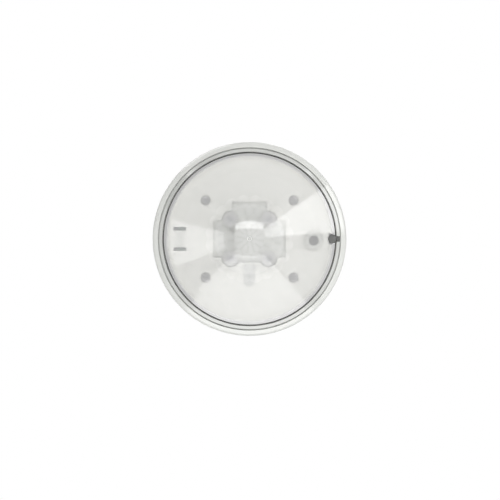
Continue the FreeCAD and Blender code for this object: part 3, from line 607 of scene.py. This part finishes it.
def lensFinish(v):
    segmentsGroup(v)
    tree, shader, effect, relief = newFinish(
        "lens_plastic", moulded,
        {"Light": v["haze"], "Dark": v["hazeDark"], "Cloud Scale": v["clouds"],
         "Low Gloss": v["lowGloss"], "High Gloss": v["highGloss"]},
        bump=v["bump"], bumpDistance=v["bumpDistance"], Specular_IOR_Level=0,
        Coat_Roughness=v["coatRoughness"], Coat_IOR=v["coatIor"])
    segments = addNode(tree, "ShaderNodeGroup", node_tree=bpy.data.node_groups["lensSegments"])
    segments.inputs["Line"].default_value = v["lineWidth"]
    segments.inputs["Wall"].default_value = v["wallStrength"]
    segments.inputs["Fade"].default_value = v["lineFade"]
    link(tree, segments.outputs["Height"], relief.inputs["Height"])
    # painted highlights: white lines along the segment edges, stronger where the face is seen at a low angle,
    # and painted light inside each segment
    drawn = facingRamp(tree, v["near"], v["far"], v["lineFacing"], v["lineGrazing"])
    paintedLight = calc(tree, "MAXIMUM", calc(tree, "MULTIPLY", segments.outputs["Lines"], drawn),
                   calc(tree, "MULTIPLY", segments.outputs["Cells"], v["cellPaintedLight"]))
    link(tree, blendColors(tree, paintedLight, effect.outputs["Color"], v["highlightWhite"]), shader.inputs["Base Color"])
    haze = facingRamp(tree, v["near"], v["far"], v["hazeFacing"], v["hazeGrazing"])
    coat = facingRamp(tree, v["near"], v["coatFar"], v["glossFacing"], v["glossGrazing"])
    link(tree, coat, shader.inputs["Coat Weight"])
    # more haze over the segments and at the rim; the far face of the wall adds little
    radius = segments.outputs["Radius"]
    tip = ramp(tree, radius, v["tipHazeStart"], v["tipHazeEnd"], v["tipHaze"], 0)
    behind = addNode(tree, "ShaderNodeNewGeometry").outputs["Backfacing"]
    kept = calc(tree, "MULTIPLY_ADD", behind, v["farFace"] - 1, 1)
    haze = calc(tree, "MULTIPLY", calc(tree, "MAXIMUM", haze, tip), kept)
    haze = calc(tree, "MAXIMUM", haze, ramp(tree, radius, v["rimStart"], v["rimEnd"], 0, v["rimHaze"]))
    # rays that carry light to the inside meet less haze than the camera sees
    path = addNode(tree, "ShaderNodeLightPath")
    lit = calc(tree, "MAXIMUM", path.outputs["Is Shadow Ray"], path.outputs["Is Diffuse Ray"])
    held = calc(tree, "MULTIPLY_ADD", lit, v["hazeToLight"] - 1, 1)
    link(tree, calc(tree, "MULTIPLY", haze, held), shader.inputs["Alpha"])


lensFinish(lensCap)
dress(makeLensCap(lensCap), "lens_cap", "lens_plastic", "lens_cap")
print("lens cap made")


# trim ring

trimRing = {
    "inner": 48.35, "band": 50.1, "corner": 52.8, "outer": 53.4, "slope": 22.5, "step": 0.3,
    "groove": 0.7, "grooveDepth": 1.5, "faceLevel": -12.51, "seam": -6.6, "innerTop": -9.1,
    "spigotTop": -4.2, "spigotInner": 49.4, "spigotOuter": 50.9,
    "shoulder": 51.9, "shoulderRise": 1.1, "cornerRise": 0.6,
    "channel": lensCap["channel"], "channelStart": 47, "channelEnd": 50.3, "channelLow": -14,
    "channelDepth": 2.2, "padGap": 0.1, "padInset": 0.02, "padDepth": 0.5,
    # the band's painted shade: its strength, its darker colour, and the span over which it fades out
    "paintedShadeStrength": 0.8, "paintedShadeColor": (0.56, 0.57, 0.55, 1), "shadeStart": 0.1, "shadeEnd": 0.3,
}


def makeTrimRing(v):
    rise = math.tan(math.radians(v["slope"]))
    stepLow = v["faceLevel"] + (v["band"] - v["inner"]) * rise
    stepTop = stepLow + v["step"]
    cornerLevel = stepTop + (v["corner"] - v["band"]) * rise
    stations = [
        (v["spigotOuter"], v["spigotTop"]), (v["spigotOuter"], cornerLevel + v["shoulderRise"]),
        (v["shoulder"], cornerLevel + v["shoulderRise"]), (v["shoulder"], v["seam"]), (v["outer"], v["seam"]),
        (v["outer"], cornerLevel + v["cornerRise"]), (v["corner"], cornerLevel),
        (v["band"] + v["groove"], stepTop), (v["band"] + v["groove"], stepTop + v["grooveDepth"]),
        (v["band"], stepTop + v["grooveDepth"]), (v["band"], stepLow), (v["inner"], v["faceLevel"]),
        (v["inner"], v["innerTop"]), (v["spigotInner"], v["innerTop"]), (v["spigotInner"], v["spigotTop"]),
        (v["spigotOuter"], v["spigotTop"]),
    ]
    piece = turn("trimRing", stations, close="loop")
    half, channelTop = v["channel"] / 2, v["faceLevel"] + v["channelDepth"]
    carve(piece, box("channelCutter", (v["channelStart"], -half, v["channelLow"]),
                     (v["channelEnd"], half, channelTop)))
    soften(piece, width=0.12, angle=14, segments=3, smooth=30)
    return piece


def paintShadeOnBand(v):
    # painted shade: a darker colour on the band between the seal and the groove, standing in for the shade
    # that lies there
    tree = finish["ring_plastic"].node_tree
    shader = tree.nodes["Principled BSDF"]
    plain = shader.inputs["Base Color"].links[0].from_socket
    place = addNode(tree, "ShaderNodeTexCoord").outputs["Object"]
    radius = awayFromAxis(tree, place)[2]
    inside = ramp(tree, radius, v["band"] + v["shadeStart"], v["band"] + v["shadeEnd"], v["paintedShadeStrength"], 0)
    link(tree, blendColors(tree, inside, plain, v["paintedShadeColor"]), shader.inputs["Base Color"])


def makeNotchShadePad(v):
    # painted shade: a dark rubber sheet on the floor of the pry channel, where the channel lies in shade
    half, floor = v["channel"] / 2 - v["padGap"], v["faceLevel"] + v["channelDepth"]
    piece = box("notchShadePad", (v["inner"] + v["padInset"], -half, floor - v["padDepth"]),
                (v["channelEnd"] - v["padGap"], half, floor))
    soften(piece, width=0.1, segments=2)
    return piece


paintShadeOnBand(trimRing)
dress(makeTrimRing(trimRing), "trim_ring", "ring_plastic", "trim_ring")
# the dark sheet in the pry channel is painted shade
dress(makeNotchShadePad(trimRing), "trim_ring", "seal_rubber")
print("trim ring made")


# places that several pieces share

screwPlaces = ((24.4, 21.4), (-24.4, 21.4), (-24.4, -21.4), (24.4, -21.4))
buttonPlace = (35.6, 0.9)
postX = 11.7


# back shell

backShell = {
    "face": 50.8, "lip": 54.0, "neck": 53.4, "inner": 51.0, "bevelLow": -3.2, "lipLow": -4.2, "neckTop": -4.8,
    "low": -6.5, "floor": -2.0, "cutLow": -3, "postHole": 2.75,
    "opening": ((-8.45, -6.6), (8.45, 6.6)), "trayOpening": ((-7.55, -8.1), (8.95, -5.1)),
    "bossRadius": 3.0, "bossLow": -6.8, "bossTop": -1.5,
}


def makeBackShell(v):
    piece = turn("backShell", [
        (v["face"], 0), (v["lip"], v["bevelLow"]), (v["lip"], v["lipLow"]), (v["neck"], v["neckTop"]),
        (v["neck"], v["low"]), (v["inner"], v["low"]), (v["inner"], v["floor"]),
    ])
    for (lowX, lowY), (highX, highY) in (v["opening"], v["trayOpening"]):
        carve(piece, box("openingCutter", (lowX, lowY, v["cutLow"]), (highX, highY, past)))
    for side in (-1, 1):
        carve(piece, turn("postCutter", [(v["postHole"], v["cutLow"]), (v["postHole"], past)],
                          sides=64, centre=(postX * side, 0)))
    for place in screwPlaces:
        joinPieces(piece, turn("boss", [(v["bossRadius"], v["bossLow"]), (v["bossRadius"], v["bossTop"])],
                               sides=48, centre=place))
    soften(piece, width=0.35, angle=20, segments=3, smooth=30)
    return piece


dress(makeBackShell(backShell), "housing", "shell_plastic", "back_shell")
print("back shell made")


# posts

posts = {
    "radius": 2.5, "height": 15.0, "chamfer": 0.4, "collar": 2.7, "foot": 3.2, "footLow": -3.5,
    "footTop": -2.0, "dimple": 0.9, "dimpleTaper": 0.8, "dimpleDepth": 1.2,
}


def makePost(v, name, side):
    piece = turn(name, [
        (v["foot"], v["footLow"]), (v["foot"], v["footTop"]), (v["collar"], v["footTop"]), (v["collar"], 0),
        (v["radius"], 0), (v["radius"], v["height"] - v["chamfer"]),
        (v["radius"] - v["chamfer"], v["height"]), (v["dimple"], v["height"]),
        (v["dimple"] * v["dimpleTaper"], v["height"] - v["dimpleDepth"]),
    ], sides=72, centre=(postX * side, 0))
    soften(piece, width=0.12, angle=25, segments=2)
    return piece


for sideName, side in (("left", -1), ("right", 1)):
    dress(makePost(posts, f"{sideName}Post", side), "housing", "post_plastic", f"mounting_post_{sideName}")
print("posts made")


# terminal socket and the two poles

terminal = {
    "middle": 0.2, "halfWidth": 6.0, "halfDepth": 5.0, "low": -6.3, "top": 5.2, "bevel": 0.8,
    "poleX": 2.875, "wireX": 1.3, "wireY": 2.5, "wireRadius": 0.6, "wireDepth": 4.5, "funnel": 0.3,
    "sleeveRadius": 1.02, "sleeveTop": -0.5, "slotWidth": 1.1, "slotLength": 1.8, "slotDepth": 1.2,
}


def makePole(v, name, side):
    near, far = sorted((v["middle"], v["middle"] + v["halfWidth"] * side))
    top, entry, rim = v["top"], v["wireRadius"], v["wireRadius"] + v["funnel"]
    sleeve = v["sleeveRadius"]
    piece = box(name, (near, -v["halfDepth"], v["low"]), (far, v["halfDepth"], top))
    roundEdges(piece, v["bevel"], segments=1, x=v["middle"] + v["halfWidth"] * side, z=top)
    pole = v["middle"] + v["poleX"] * side
    for across in (-1, 1):
        for along in (-1, 1):
            hole = turn("wireCutter", [
                (entry, top - v["wireDepth"]), (entry, top - v["funnel"]), (rim, top), (rim, top + past),
            ], sides=32, centre=(pole + v["wireX"] * across, v["wireY"] * along))
            carve(piece, hole)
    slot = box("slotCutter", (pole - v["slotLength"] / 2, -v["slotWidth"] / 2, top - v["slotDepth"]),
               (pole + v["slotLength"] / 2, v["slotWidth"] / 2, top + past))
    sleeveBore = turn("sleeveCutter", [(sleeve, v["low"] - past), (sleeve, v["sleeveTop"])],
                      sides=40, centre=(pole, 0))
    carve(piece, slot, sleeveBore)
    soften(piece, width=0.15, angle=35, segments=2)
    return piece


for colour, side in (("black", -1), ("red", 1)):
    polePiece = makePole(terminal, f"{colour}Pole", side)
    dress(polePiece, "bus_terminal", f"terminal_{colour}", f"bus_terminal_{colour}")

socketPiece = fromFrame("terminal_socket", "terminalWell")
soften(socketPiece, width=0.22, angle=35, segments=2)
dress(socketPiece, "housing", "socket_plastic", "terminal_socket")
print("terminal made")


# inner frame

innerFrame = {
    "plateLow": -10.4, "plateTop": -8.9, "floorLevel": -9.5, "wellPlug": 4.3, "wellTop": 4.1,
    "wellFloor": 2.64, "dishLip": 0.1, "dishTaper": 0.7, "dishDepth": 0.25,
    "guideHalf": 3.1, "guideEnd": 26.4, "cornerOver": 0.2,
}


def makeInnerFrame(v):
    piece = fromFrame("sensor_frame", "innerFrame")
    low, top, floor = v["plateLow"], v["plateTop"], v["floorLevel"]
    for place in screwPlaces:
        plug = turn("wellPlug", [(v["wellPlug"], low), (v["wellPlug"], floor)], sides=64, centre=place)
        joinPieces(piece, plug)
        dish = turn("wellCutter", [
            (v["wellTop"] + v["dishLip"], low - v["dishLip"]),
            (v["wellTop"] - v["dishTaper"], low + v["dishDepth"]),
            (v["wellFloor"], floor - v["dishDepth"]), (v["wellFloor"], floor + v["dishLip"]),
        ], sides=64, centre=place)
        carve(piece, dish)
    # round end of the long opening
    half, end, over = v["guideHalf"], v["guideEnd"], v["cornerOver"]
    corners = box("openingCorners", (-half - over, end - half, low), (half + over, end + over, top))
    carve(corners, turn("endCutter", [(half, low - past), (half, top + past)],
                        sides=64, centre=(0, end - half)))
    joinPieces(piece, corners)
    soften(piece, width=0.12, angle=35, segments=2)
    return piece


dress(makeInnerFrame(innerFrame), "housing", "frame_plastic", "sensor_frame")


# sensor holder and light guide

clearGuide = {"tint": (0.78, 0.79, 0.76, 1), "tintDark": (0.74, 0.75, 0.72, 1), "haze": 0.82}
newFinish("guide_clear", moulded, {"Light": clearGuide["tint"], "Dark": clearGuide["tintDark"],
                                   "Low Gloss": 0.05, "High Gloss": 0.12},
          bump=0.05, bumpDistance=0.03, Alpha=clearGuide["haze"])

lightGuide = {"half": 3.0, "start": 20.85, "end": 26.3, "low": -10.9, "high": -9.0, "flat": 0.02}


def makeLightGuide(v):
    piece = box("lightGuide", (-v["half"], v["start"], v["low"]), (v["half"], v["end"], v["high"]))
    for x in (-v["half"], v["half"]):
        roundEdges(piece, v["half"] - v["flat"], segments=12, x=x, y=v["end"])
    soften(piece, width=0.25, angle=35, segments=3)
    return piece


sensorHolder = {
    "face": -14.0, "sideX": 10.0, "sideHalf": 2.0, "sideReach": 6.2, "sideDepth": 2.4,
    "flange": (
        ((-21.4, -11.5, -8.85), (21.4, 11.5, -8.5)), ((-10.8, -21.5, -8.84), (10.8, -11.0, -8.51)),
        ((-16.9, -16.9, -8.83), (-3.4, 16.9, -8.52)), ((3.4, -16.9, -8.82), (16.9, 16.9, -8.53)),
    ),
    "flangeOpening": (((-9.0, -19.4, -9), (9.0, 13.5, -8)), ((-19.3, -9.4, -9), (19.3, 9.4, -8))),
}


def makeHolder(v):
    piece = fromFrame("sensor_holder", "sensorHolder")
    # open channels between the cans on either side
    for side in (-1, 1):
        x, reach = v["sideX"] * side, v["sideReach"]
        carve(piece, box("sideCutter", (x - v["sideHalf"], -reach, v["face"] - past),
                         (x + v["sideHalf"], reach, v["face"] + v["sideDepth"])))
    # thin flange behind the edge of the window
    flange, *parts = [box("flange", low, high) for low, high in v["flange"]]
    joinPieces(flange, *parts)
    carve(flange, *[box("flangeCutter", low, high) for low, high in v["flangeOpening"]])
    joinPieces(piece, flange)
    soften(piece, width=0.15, angle=35, segments=2)
    return piece


dress(makeHolder(sensorHolder), "housing", "holder_plastic", "sensor_holder")
dress(makeLightGuide(lightGuide), "housing", "guide_clear", "light_guide")


# small pieces of the inner frame

details = {
    "pane": ((-3.0, 14.7, -11.8), (3.0, 20.75, -10.3)),
    "latch": ((-41.0, -4.55, -10.65), (-36.0, 4.55, -10.35)),
    "collarBore": 2.8, "collarFace": -13.0, "collarTop": 4.0, "collarEdge": 4.75, "collarDrop": 0.5,
    "collarFoot": 5.9, "sleeveBore": 4.72, "sleeveSeat": -12.82, "plateLow": innerFrame["plateLow"],
    # these four values place a dark disc of painted shade under the lens's notch
    "shadeX": lensCap["headX"], "shadeRadius": 2.35, "shadeLow": -11.4, "shadeTop": -9.8,
}


def makeDetails(v):
    # block over the receiver, latch between the slots, sleeve around the button, and a dark rubber disc under
    # the lens's notch as painted shade
    window = box("receiverWindow", *v["pane"])
    soften(window, width=0.1, segments=2)
    latch = box("latchPad", *v["latch"])
    soften(latch, width=0.25, segments=3)
    sleeve = turn("buttonSleeve", [
        (v["sleeveBore"], v["plateLow"]), (v["sleeveBore"], v["sleeveSeat"]),
        (v["collarBore"], v["sleeveSeat"]), (v["collarBore"], v["collarFace"]),
        (v["collarTop"], v["collarFace"]),
        (v["collarEdge"], v["collarFace"] + v["collarDrop"]), (v["collarFoot"], v["plateLow"]),
        (v["sleeveBore"], v["plateLow"]),
    ], sides=96, close="loop", centre=buttonPlace)
    soften(sleeve, width=0.3, angle=25, segments=3)
    # painted shade: a dark rubber disc seen through the lens's notch, where the notch lies in shade
    darkDisc = turn("notchShadeDisc", [(v["shadeRadius"], v["shadeLow"]), (v["shadeRadius"], v["shadeTop"])],
                  sides=48, centre=(v["shadeX"], 0))
    soften(darkDisc, width=0.15, angle=35, segments=2)
    return window, latch, sleeve, darkDisc


windowPiece, latchPiece, sleevePiece, notchShadePiece = makeDetails(details)
dress(notchShadePiece, "housing", "seal_rubber")
dress(windowPiece, "housing", "guide_clear")
dress(latchPiece, "housing", "holder_plastic")
dress(sleevePiece, "housing", "holder_plastic")


# screws and programming button

screws = {
    "turns": (20, 65, 40, 5), "shank": 1.15, "tip": -2.8, "tipTaper": 0.3, "tipLength": 0.4,
    "seat": -9.4, "head": 2.6, "headLow": -10.7, "slot": 0.55, "slotReach": 1.7, "slotDepth": 0.8,
    # inset and rise of the points along the domed head
    "dome": ((0, 0.75), (0.35, 0.4), (0.9, 0.15), (1.6, 0)),
}


def makeScrews(v):
    stations = [
        (v["shank"] - v["tipTaper"], v["tip"]), (v["shank"], v["tip"] - v["tipLength"]),
        (v["shank"], v["seat"]), (v["head"], v["seat"]),
    ]
    stations += [(v["head"] - inset, v["headLow"] + rise) for inset, rise in v["dome"]]
    first = turn("frameScrew1", stations, sides=48)
    reach, half = v["slotReach"], v["slot"] / 2
    for halfX, halfY in ((reach, half), (half, reach)):
        carve(first, box("slotCutter", (-halfX, -halfY, v["headLow"] - past),
                         (halfX, halfY, v["headLow"] + v["slotDepth"])))
    soften(first, width=0.06, angle=35, segments=2)
    made = []
    for number, ((x, y), spin) in enumerate(zip(screwPlaces, v["turns"]), start=2):
        made.append(copyPiece(first, f"frameScrew{number}", shift=(x, y, 0), spin=spin))
    bpy.data.objects.remove(first)
    return made


for screw in makeScrews(screws):
    dress(screw, "housing", "screw_steel", "frame_screws")

button = {
    "stem": 2.6, "flange": 3.6, "low": -13.4, "shoulder": -11.7, "top": -10.9,
    # inset and rise of the points across the dished face
    "dish": ((0, 0.25), (0.3, 0), (0.8, 0.05), (1.6, 0.25)),
}


def makeButton(v):
    stations = [(v["flange"], v["top"]), (v["flange"], v["shoulder"]), (v["stem"], v["shoulder"])]
    stations += [(v["stem"] - inset, v["low"] + rise) for inset, rise in v["dish"]]
    piece = turn("buttonCap", stations, sides=72, centre=buttonPlace)
    soften(piece, width=0.1, angle=25, segments=2)
    return piece


dress(makeButton(button), "button", "button_plastic", "programming_button")
print("inner pieces made")


# sensor cans

for corner in ("front_left", "front_right", "rear_right", "rear_left"):
    for part, slotName, width in (("cap", "can_metal", 0.25), ("header", "header_metal", 0.1)):
        camel = corner.replace("_l", "L").replace("_r", "R")
        canPiece = fromFrame(f"pir_{part}_{corner}", f"{camel}{part.capitalize()}")
        soften(canPiece, width, angle=35, segments=2)
        dress(canPiece, "housing", slotName, f"pir_{part}_{corner}")
print("sensor cans made")


# circuit board, and the finishes of all solids that stay

board = {
    "mask": (0.010, 0.055, 0.024, 1), "track": (0.022, 0.095, 0.042, 1), "pitch": 420, "trackWidth": 0.08,
}


def boardFinish(v):
    tree, shader, _, relief = newFinish(
        "board_laminate", moulded,
        {"Light": v["mask"], "Dark": v["mask"], "Low Gloss": 0.18, "High Gloss": 0.28},
        bump=0.15, bumpDistance=0.04)
    place = addNode(tree, "ShaderNodeTexCoord").outputs["Object"]
    tracks = addNode(tree, "ShaderNodeTexBrick")
    tracks.inputs["Scale"].default_value = v["pitch"]
    tracks.inputs["Mortar Size"].default_value = v["trackWidth"]
    tracks.inputs["Color1"].default_value = v["mask"]
    tracks.inputs["Color2"].default_value = v["mask"]
    tracks.inputs["Mortar"].default_value = v["track"]
    link(tree, place, tracks.inputs["Vector"])
    link(tree, tracks.outputs["Color"], shader.inputs["Base Color"])
    link(tree, tracks.outputs["Fac"], relief.inputs["Height"])


boardFinish(board)

for subpart in frame["record"]["subparts"]:
    solid = nodes[subpart["node"]]
    if solid.hide_render or "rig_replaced" in solid:
        continue
    solid.data.materials.clear()
    solid.data.materials.append(finish[subpart["material_slot"]])
print("finishes on the solids that stay")


# studio

studio = {
    "lens": 200, "sensor": 36, "cameraX": 0.28, "cameraY": 6.13, "cameraLevel": -1552, "farthest": 20,
    "white": (1, 1, 1, 1), "ambient": 0.13, "floorLevel": -2.3, "floorSize": 14,
    "floorColor": (0.85, 0.85, 0.84, 1), "floorRoughness": 0.9, "floorGlow": 0.9,
}
panels = (
    # name, azimuth, lowest and highest elevation, width in degrees, distance in metres, brightness
    ("keyPanel", -20, -52, -4, 30, 1.0, 2.8),
    ("leftPanel", 177, -28, -4, 34, 1.0, 1.9),
    ("frontMid", 90, -50, -24, 84, 1.1, 2.0),
    ("frontLow", 92, -24, -4, 88, 1.1, 1.8),
    ("rightPanel", 25, -50, -6, 28, 1.0, 0.3),
    ("sidePanel", -118, 0, 16, 34, 1.0, 2.0),
)
softboxes = (
    # name, location and size in metres, brightness; each faces the part
    ("topBox", (-0.2, -0.5, 1.8), (2.6, 2.6), 1.9),
    ("stripBox", (0, -0.53, -0.84), (1.2, 0.30), 4.0),
)
darkCard = {
    "azimuth": -135, "low": -62, "high": -30, "width": 84, "distance": 1.15, "color": (0.02, 0.02, 0.02, 1),
}


def areaLamp(name, width, height, brightness):
    lamp = bpy.data.lights.new(name, "AREA")
    lamp.shape = "RECTANGLE"
    lamp.size, lamp.size_y = width, height
    lamp.energy = brightness * math.pi * width * height
    holder = bpy.data.objects.new(name, lamp)
    bpy.context.scene.collection.objects.link(holder)
    holder.visible_camera = False
    return holder


def addPanel(name, azimuth, low, high, width, distance, brightness):
    bottom, top = (distance * math.tan(math.radians(value)) for value in (low, high))
    across = 2 * distance * math.tan(math.radians(width / 2))
    holder = areaLamp(name, across, top - bottom, brightness)
    angle = math.radians(azimuth)
    holder.location = (distance * math.cos(angle), distance * math.sin(angle), (top + bottom) / 2)
    holder.rotation_euler = (math.radians(90), 0, angle + math.radians(90))


def addSoftbox(name, location, size, brightness):
    holder = areaLamp(name, *size, brightness)
    holder.location = location
    aimX, aimY, aimZ = (-value for value in location)
    tilt = math.atan2(math.hypot(aimX, aimY), -aimZ)
    holder.rotation_euler = (tilt, 0, math.atan2(aimY, aimX) - math.radians(90))


def whiteToTheEye(tree, strength):
    # how much a ray sees plain white: camera, mirror and clear rays do
    path = addNode(tree, "ShaderNodeLightPath")
    seen = calc(tree, "MAXIMUM", path.outputs["Is Camera Ray"], path.outputs["Is Glossy Ray"])
    seen = calc(tree, "MAXIMUM", seen, path.outputs["Is Transmission Ray"])
    return calc(tree, "MULTIPLY", seen, strength)


def mixShaders(tree, factor, first, second, target):
    mixed = addNode(tree, "ShaderNodeMixShader")
    link(tree, factor, mixed.inputs[0])
    link(tree, first.outputs[0], mixed.inputs[1])
    link(tree, second.outputs[0], mixed.inputs[2])
    link(tree, mixed.outputs[0], tree.nodes[target].inputs["Surface"])


def addWorld(v):
    world = bpy.data.worlds.new("studioWorld")
    bpy.context.scene.world = world
    world.use_nodes = True
    tree = world.node_tree
    ambient = tree.nodes["Background"]
    ambient.inputs["Color"].default_value = v["white"]
    ambient.inputs["Strength"].default_value = v["ambient"]
    white = addNode(tree, "ShaderNodeBackground")
    white.inputs["Color"].default_value = v["white"]
    white.inputs["Strength"].default_value = 1
    mixShaders(tree, whiteToTheEye(tree, 1), ambient, white, "World Output")


def stageMaterial(name, color, roughness):
    material = bpy.data.materials.new(name)
    material.use_nodes = True
    shader = material.node_tree.nodes["Principled BSDF"]
    shader.inputs["Base Color"].default_value = color
    shader.inputs["Roughness"].default_value = roughness
    return material, shader


def addDarkCard(v):
    # keeps the white of the room off one side, which draws the rim on that side
    low, high = (v["distance"] * math.tan(math.radians(v[label])) for label in ("low", "high"))
    across = 2 * v["distance"] * math.tan(math.radians(v["width"] / 2))
    angle = math.radians(v["azimuth"])
    clearSelection()
    bpy.ops.mesh.primitive_plane_add(
        size=1, location=(v["distance"] * math.cos(angle), v["distance"] * math.sin(angle), (low + high) / 2),
        rotation=(math.radians(90), 0, angle + math.radians(90)), scale=(across, high - low, 1))
    card = newPiece("darkCard")
    card.data.materials.append(stageMaterial("darkCard", v["color"], 1)[0])
    card.visible_camera = False


def addFloor(v):
    clearSelection()
    bpy.ops.mesh.primitive_plane_add(size=v["floorSize"], location=(0, 0, v["floorLevel"]))
    floor = newPiece("studioFloor")
    material, shader = stageMaterial("paleFloor", v["floorColor"], v["floorRoughness"])
    tree = material.node_tree
    glow = addNode(tree, "ShaderNodeEmission")
    glow.inputs["Strength"].default_value = 1
    mixShaders(tree, whiteToTheEye(tree, v["floorGlow"]), shader, glow, "Material Output")
    floor.data.materials.append(material)


def addCamera(v):
    view = bpy.data.cameras.new("mainCamera")
    view.lens = v["lens"]
    view.sensor_width = v["sensor"]
    view.clip_end = v["farthest"]
    camera = bpy.data.objects.new("mainCamera", view)
    bpy.context.scene.collection.objects.link(camera)
    camera.location = mm(v["cameraX"], v["cameraY"], v["cameraLevel"])
    camera.rotation_euler = (math.pi, 0, 0)
    bpy.context.scene.camera = camera


for panel in panels:
    addPanel(*panel)
for softbox in softboxes:
    addSoftbox(*softbox)
addWorld(studio)
addDarkCard(darkCard)
addFloor(studio)
addCamera(studio)
bpy.context.scene.view_settings.view_transform = "Standard"
print("studio ready")
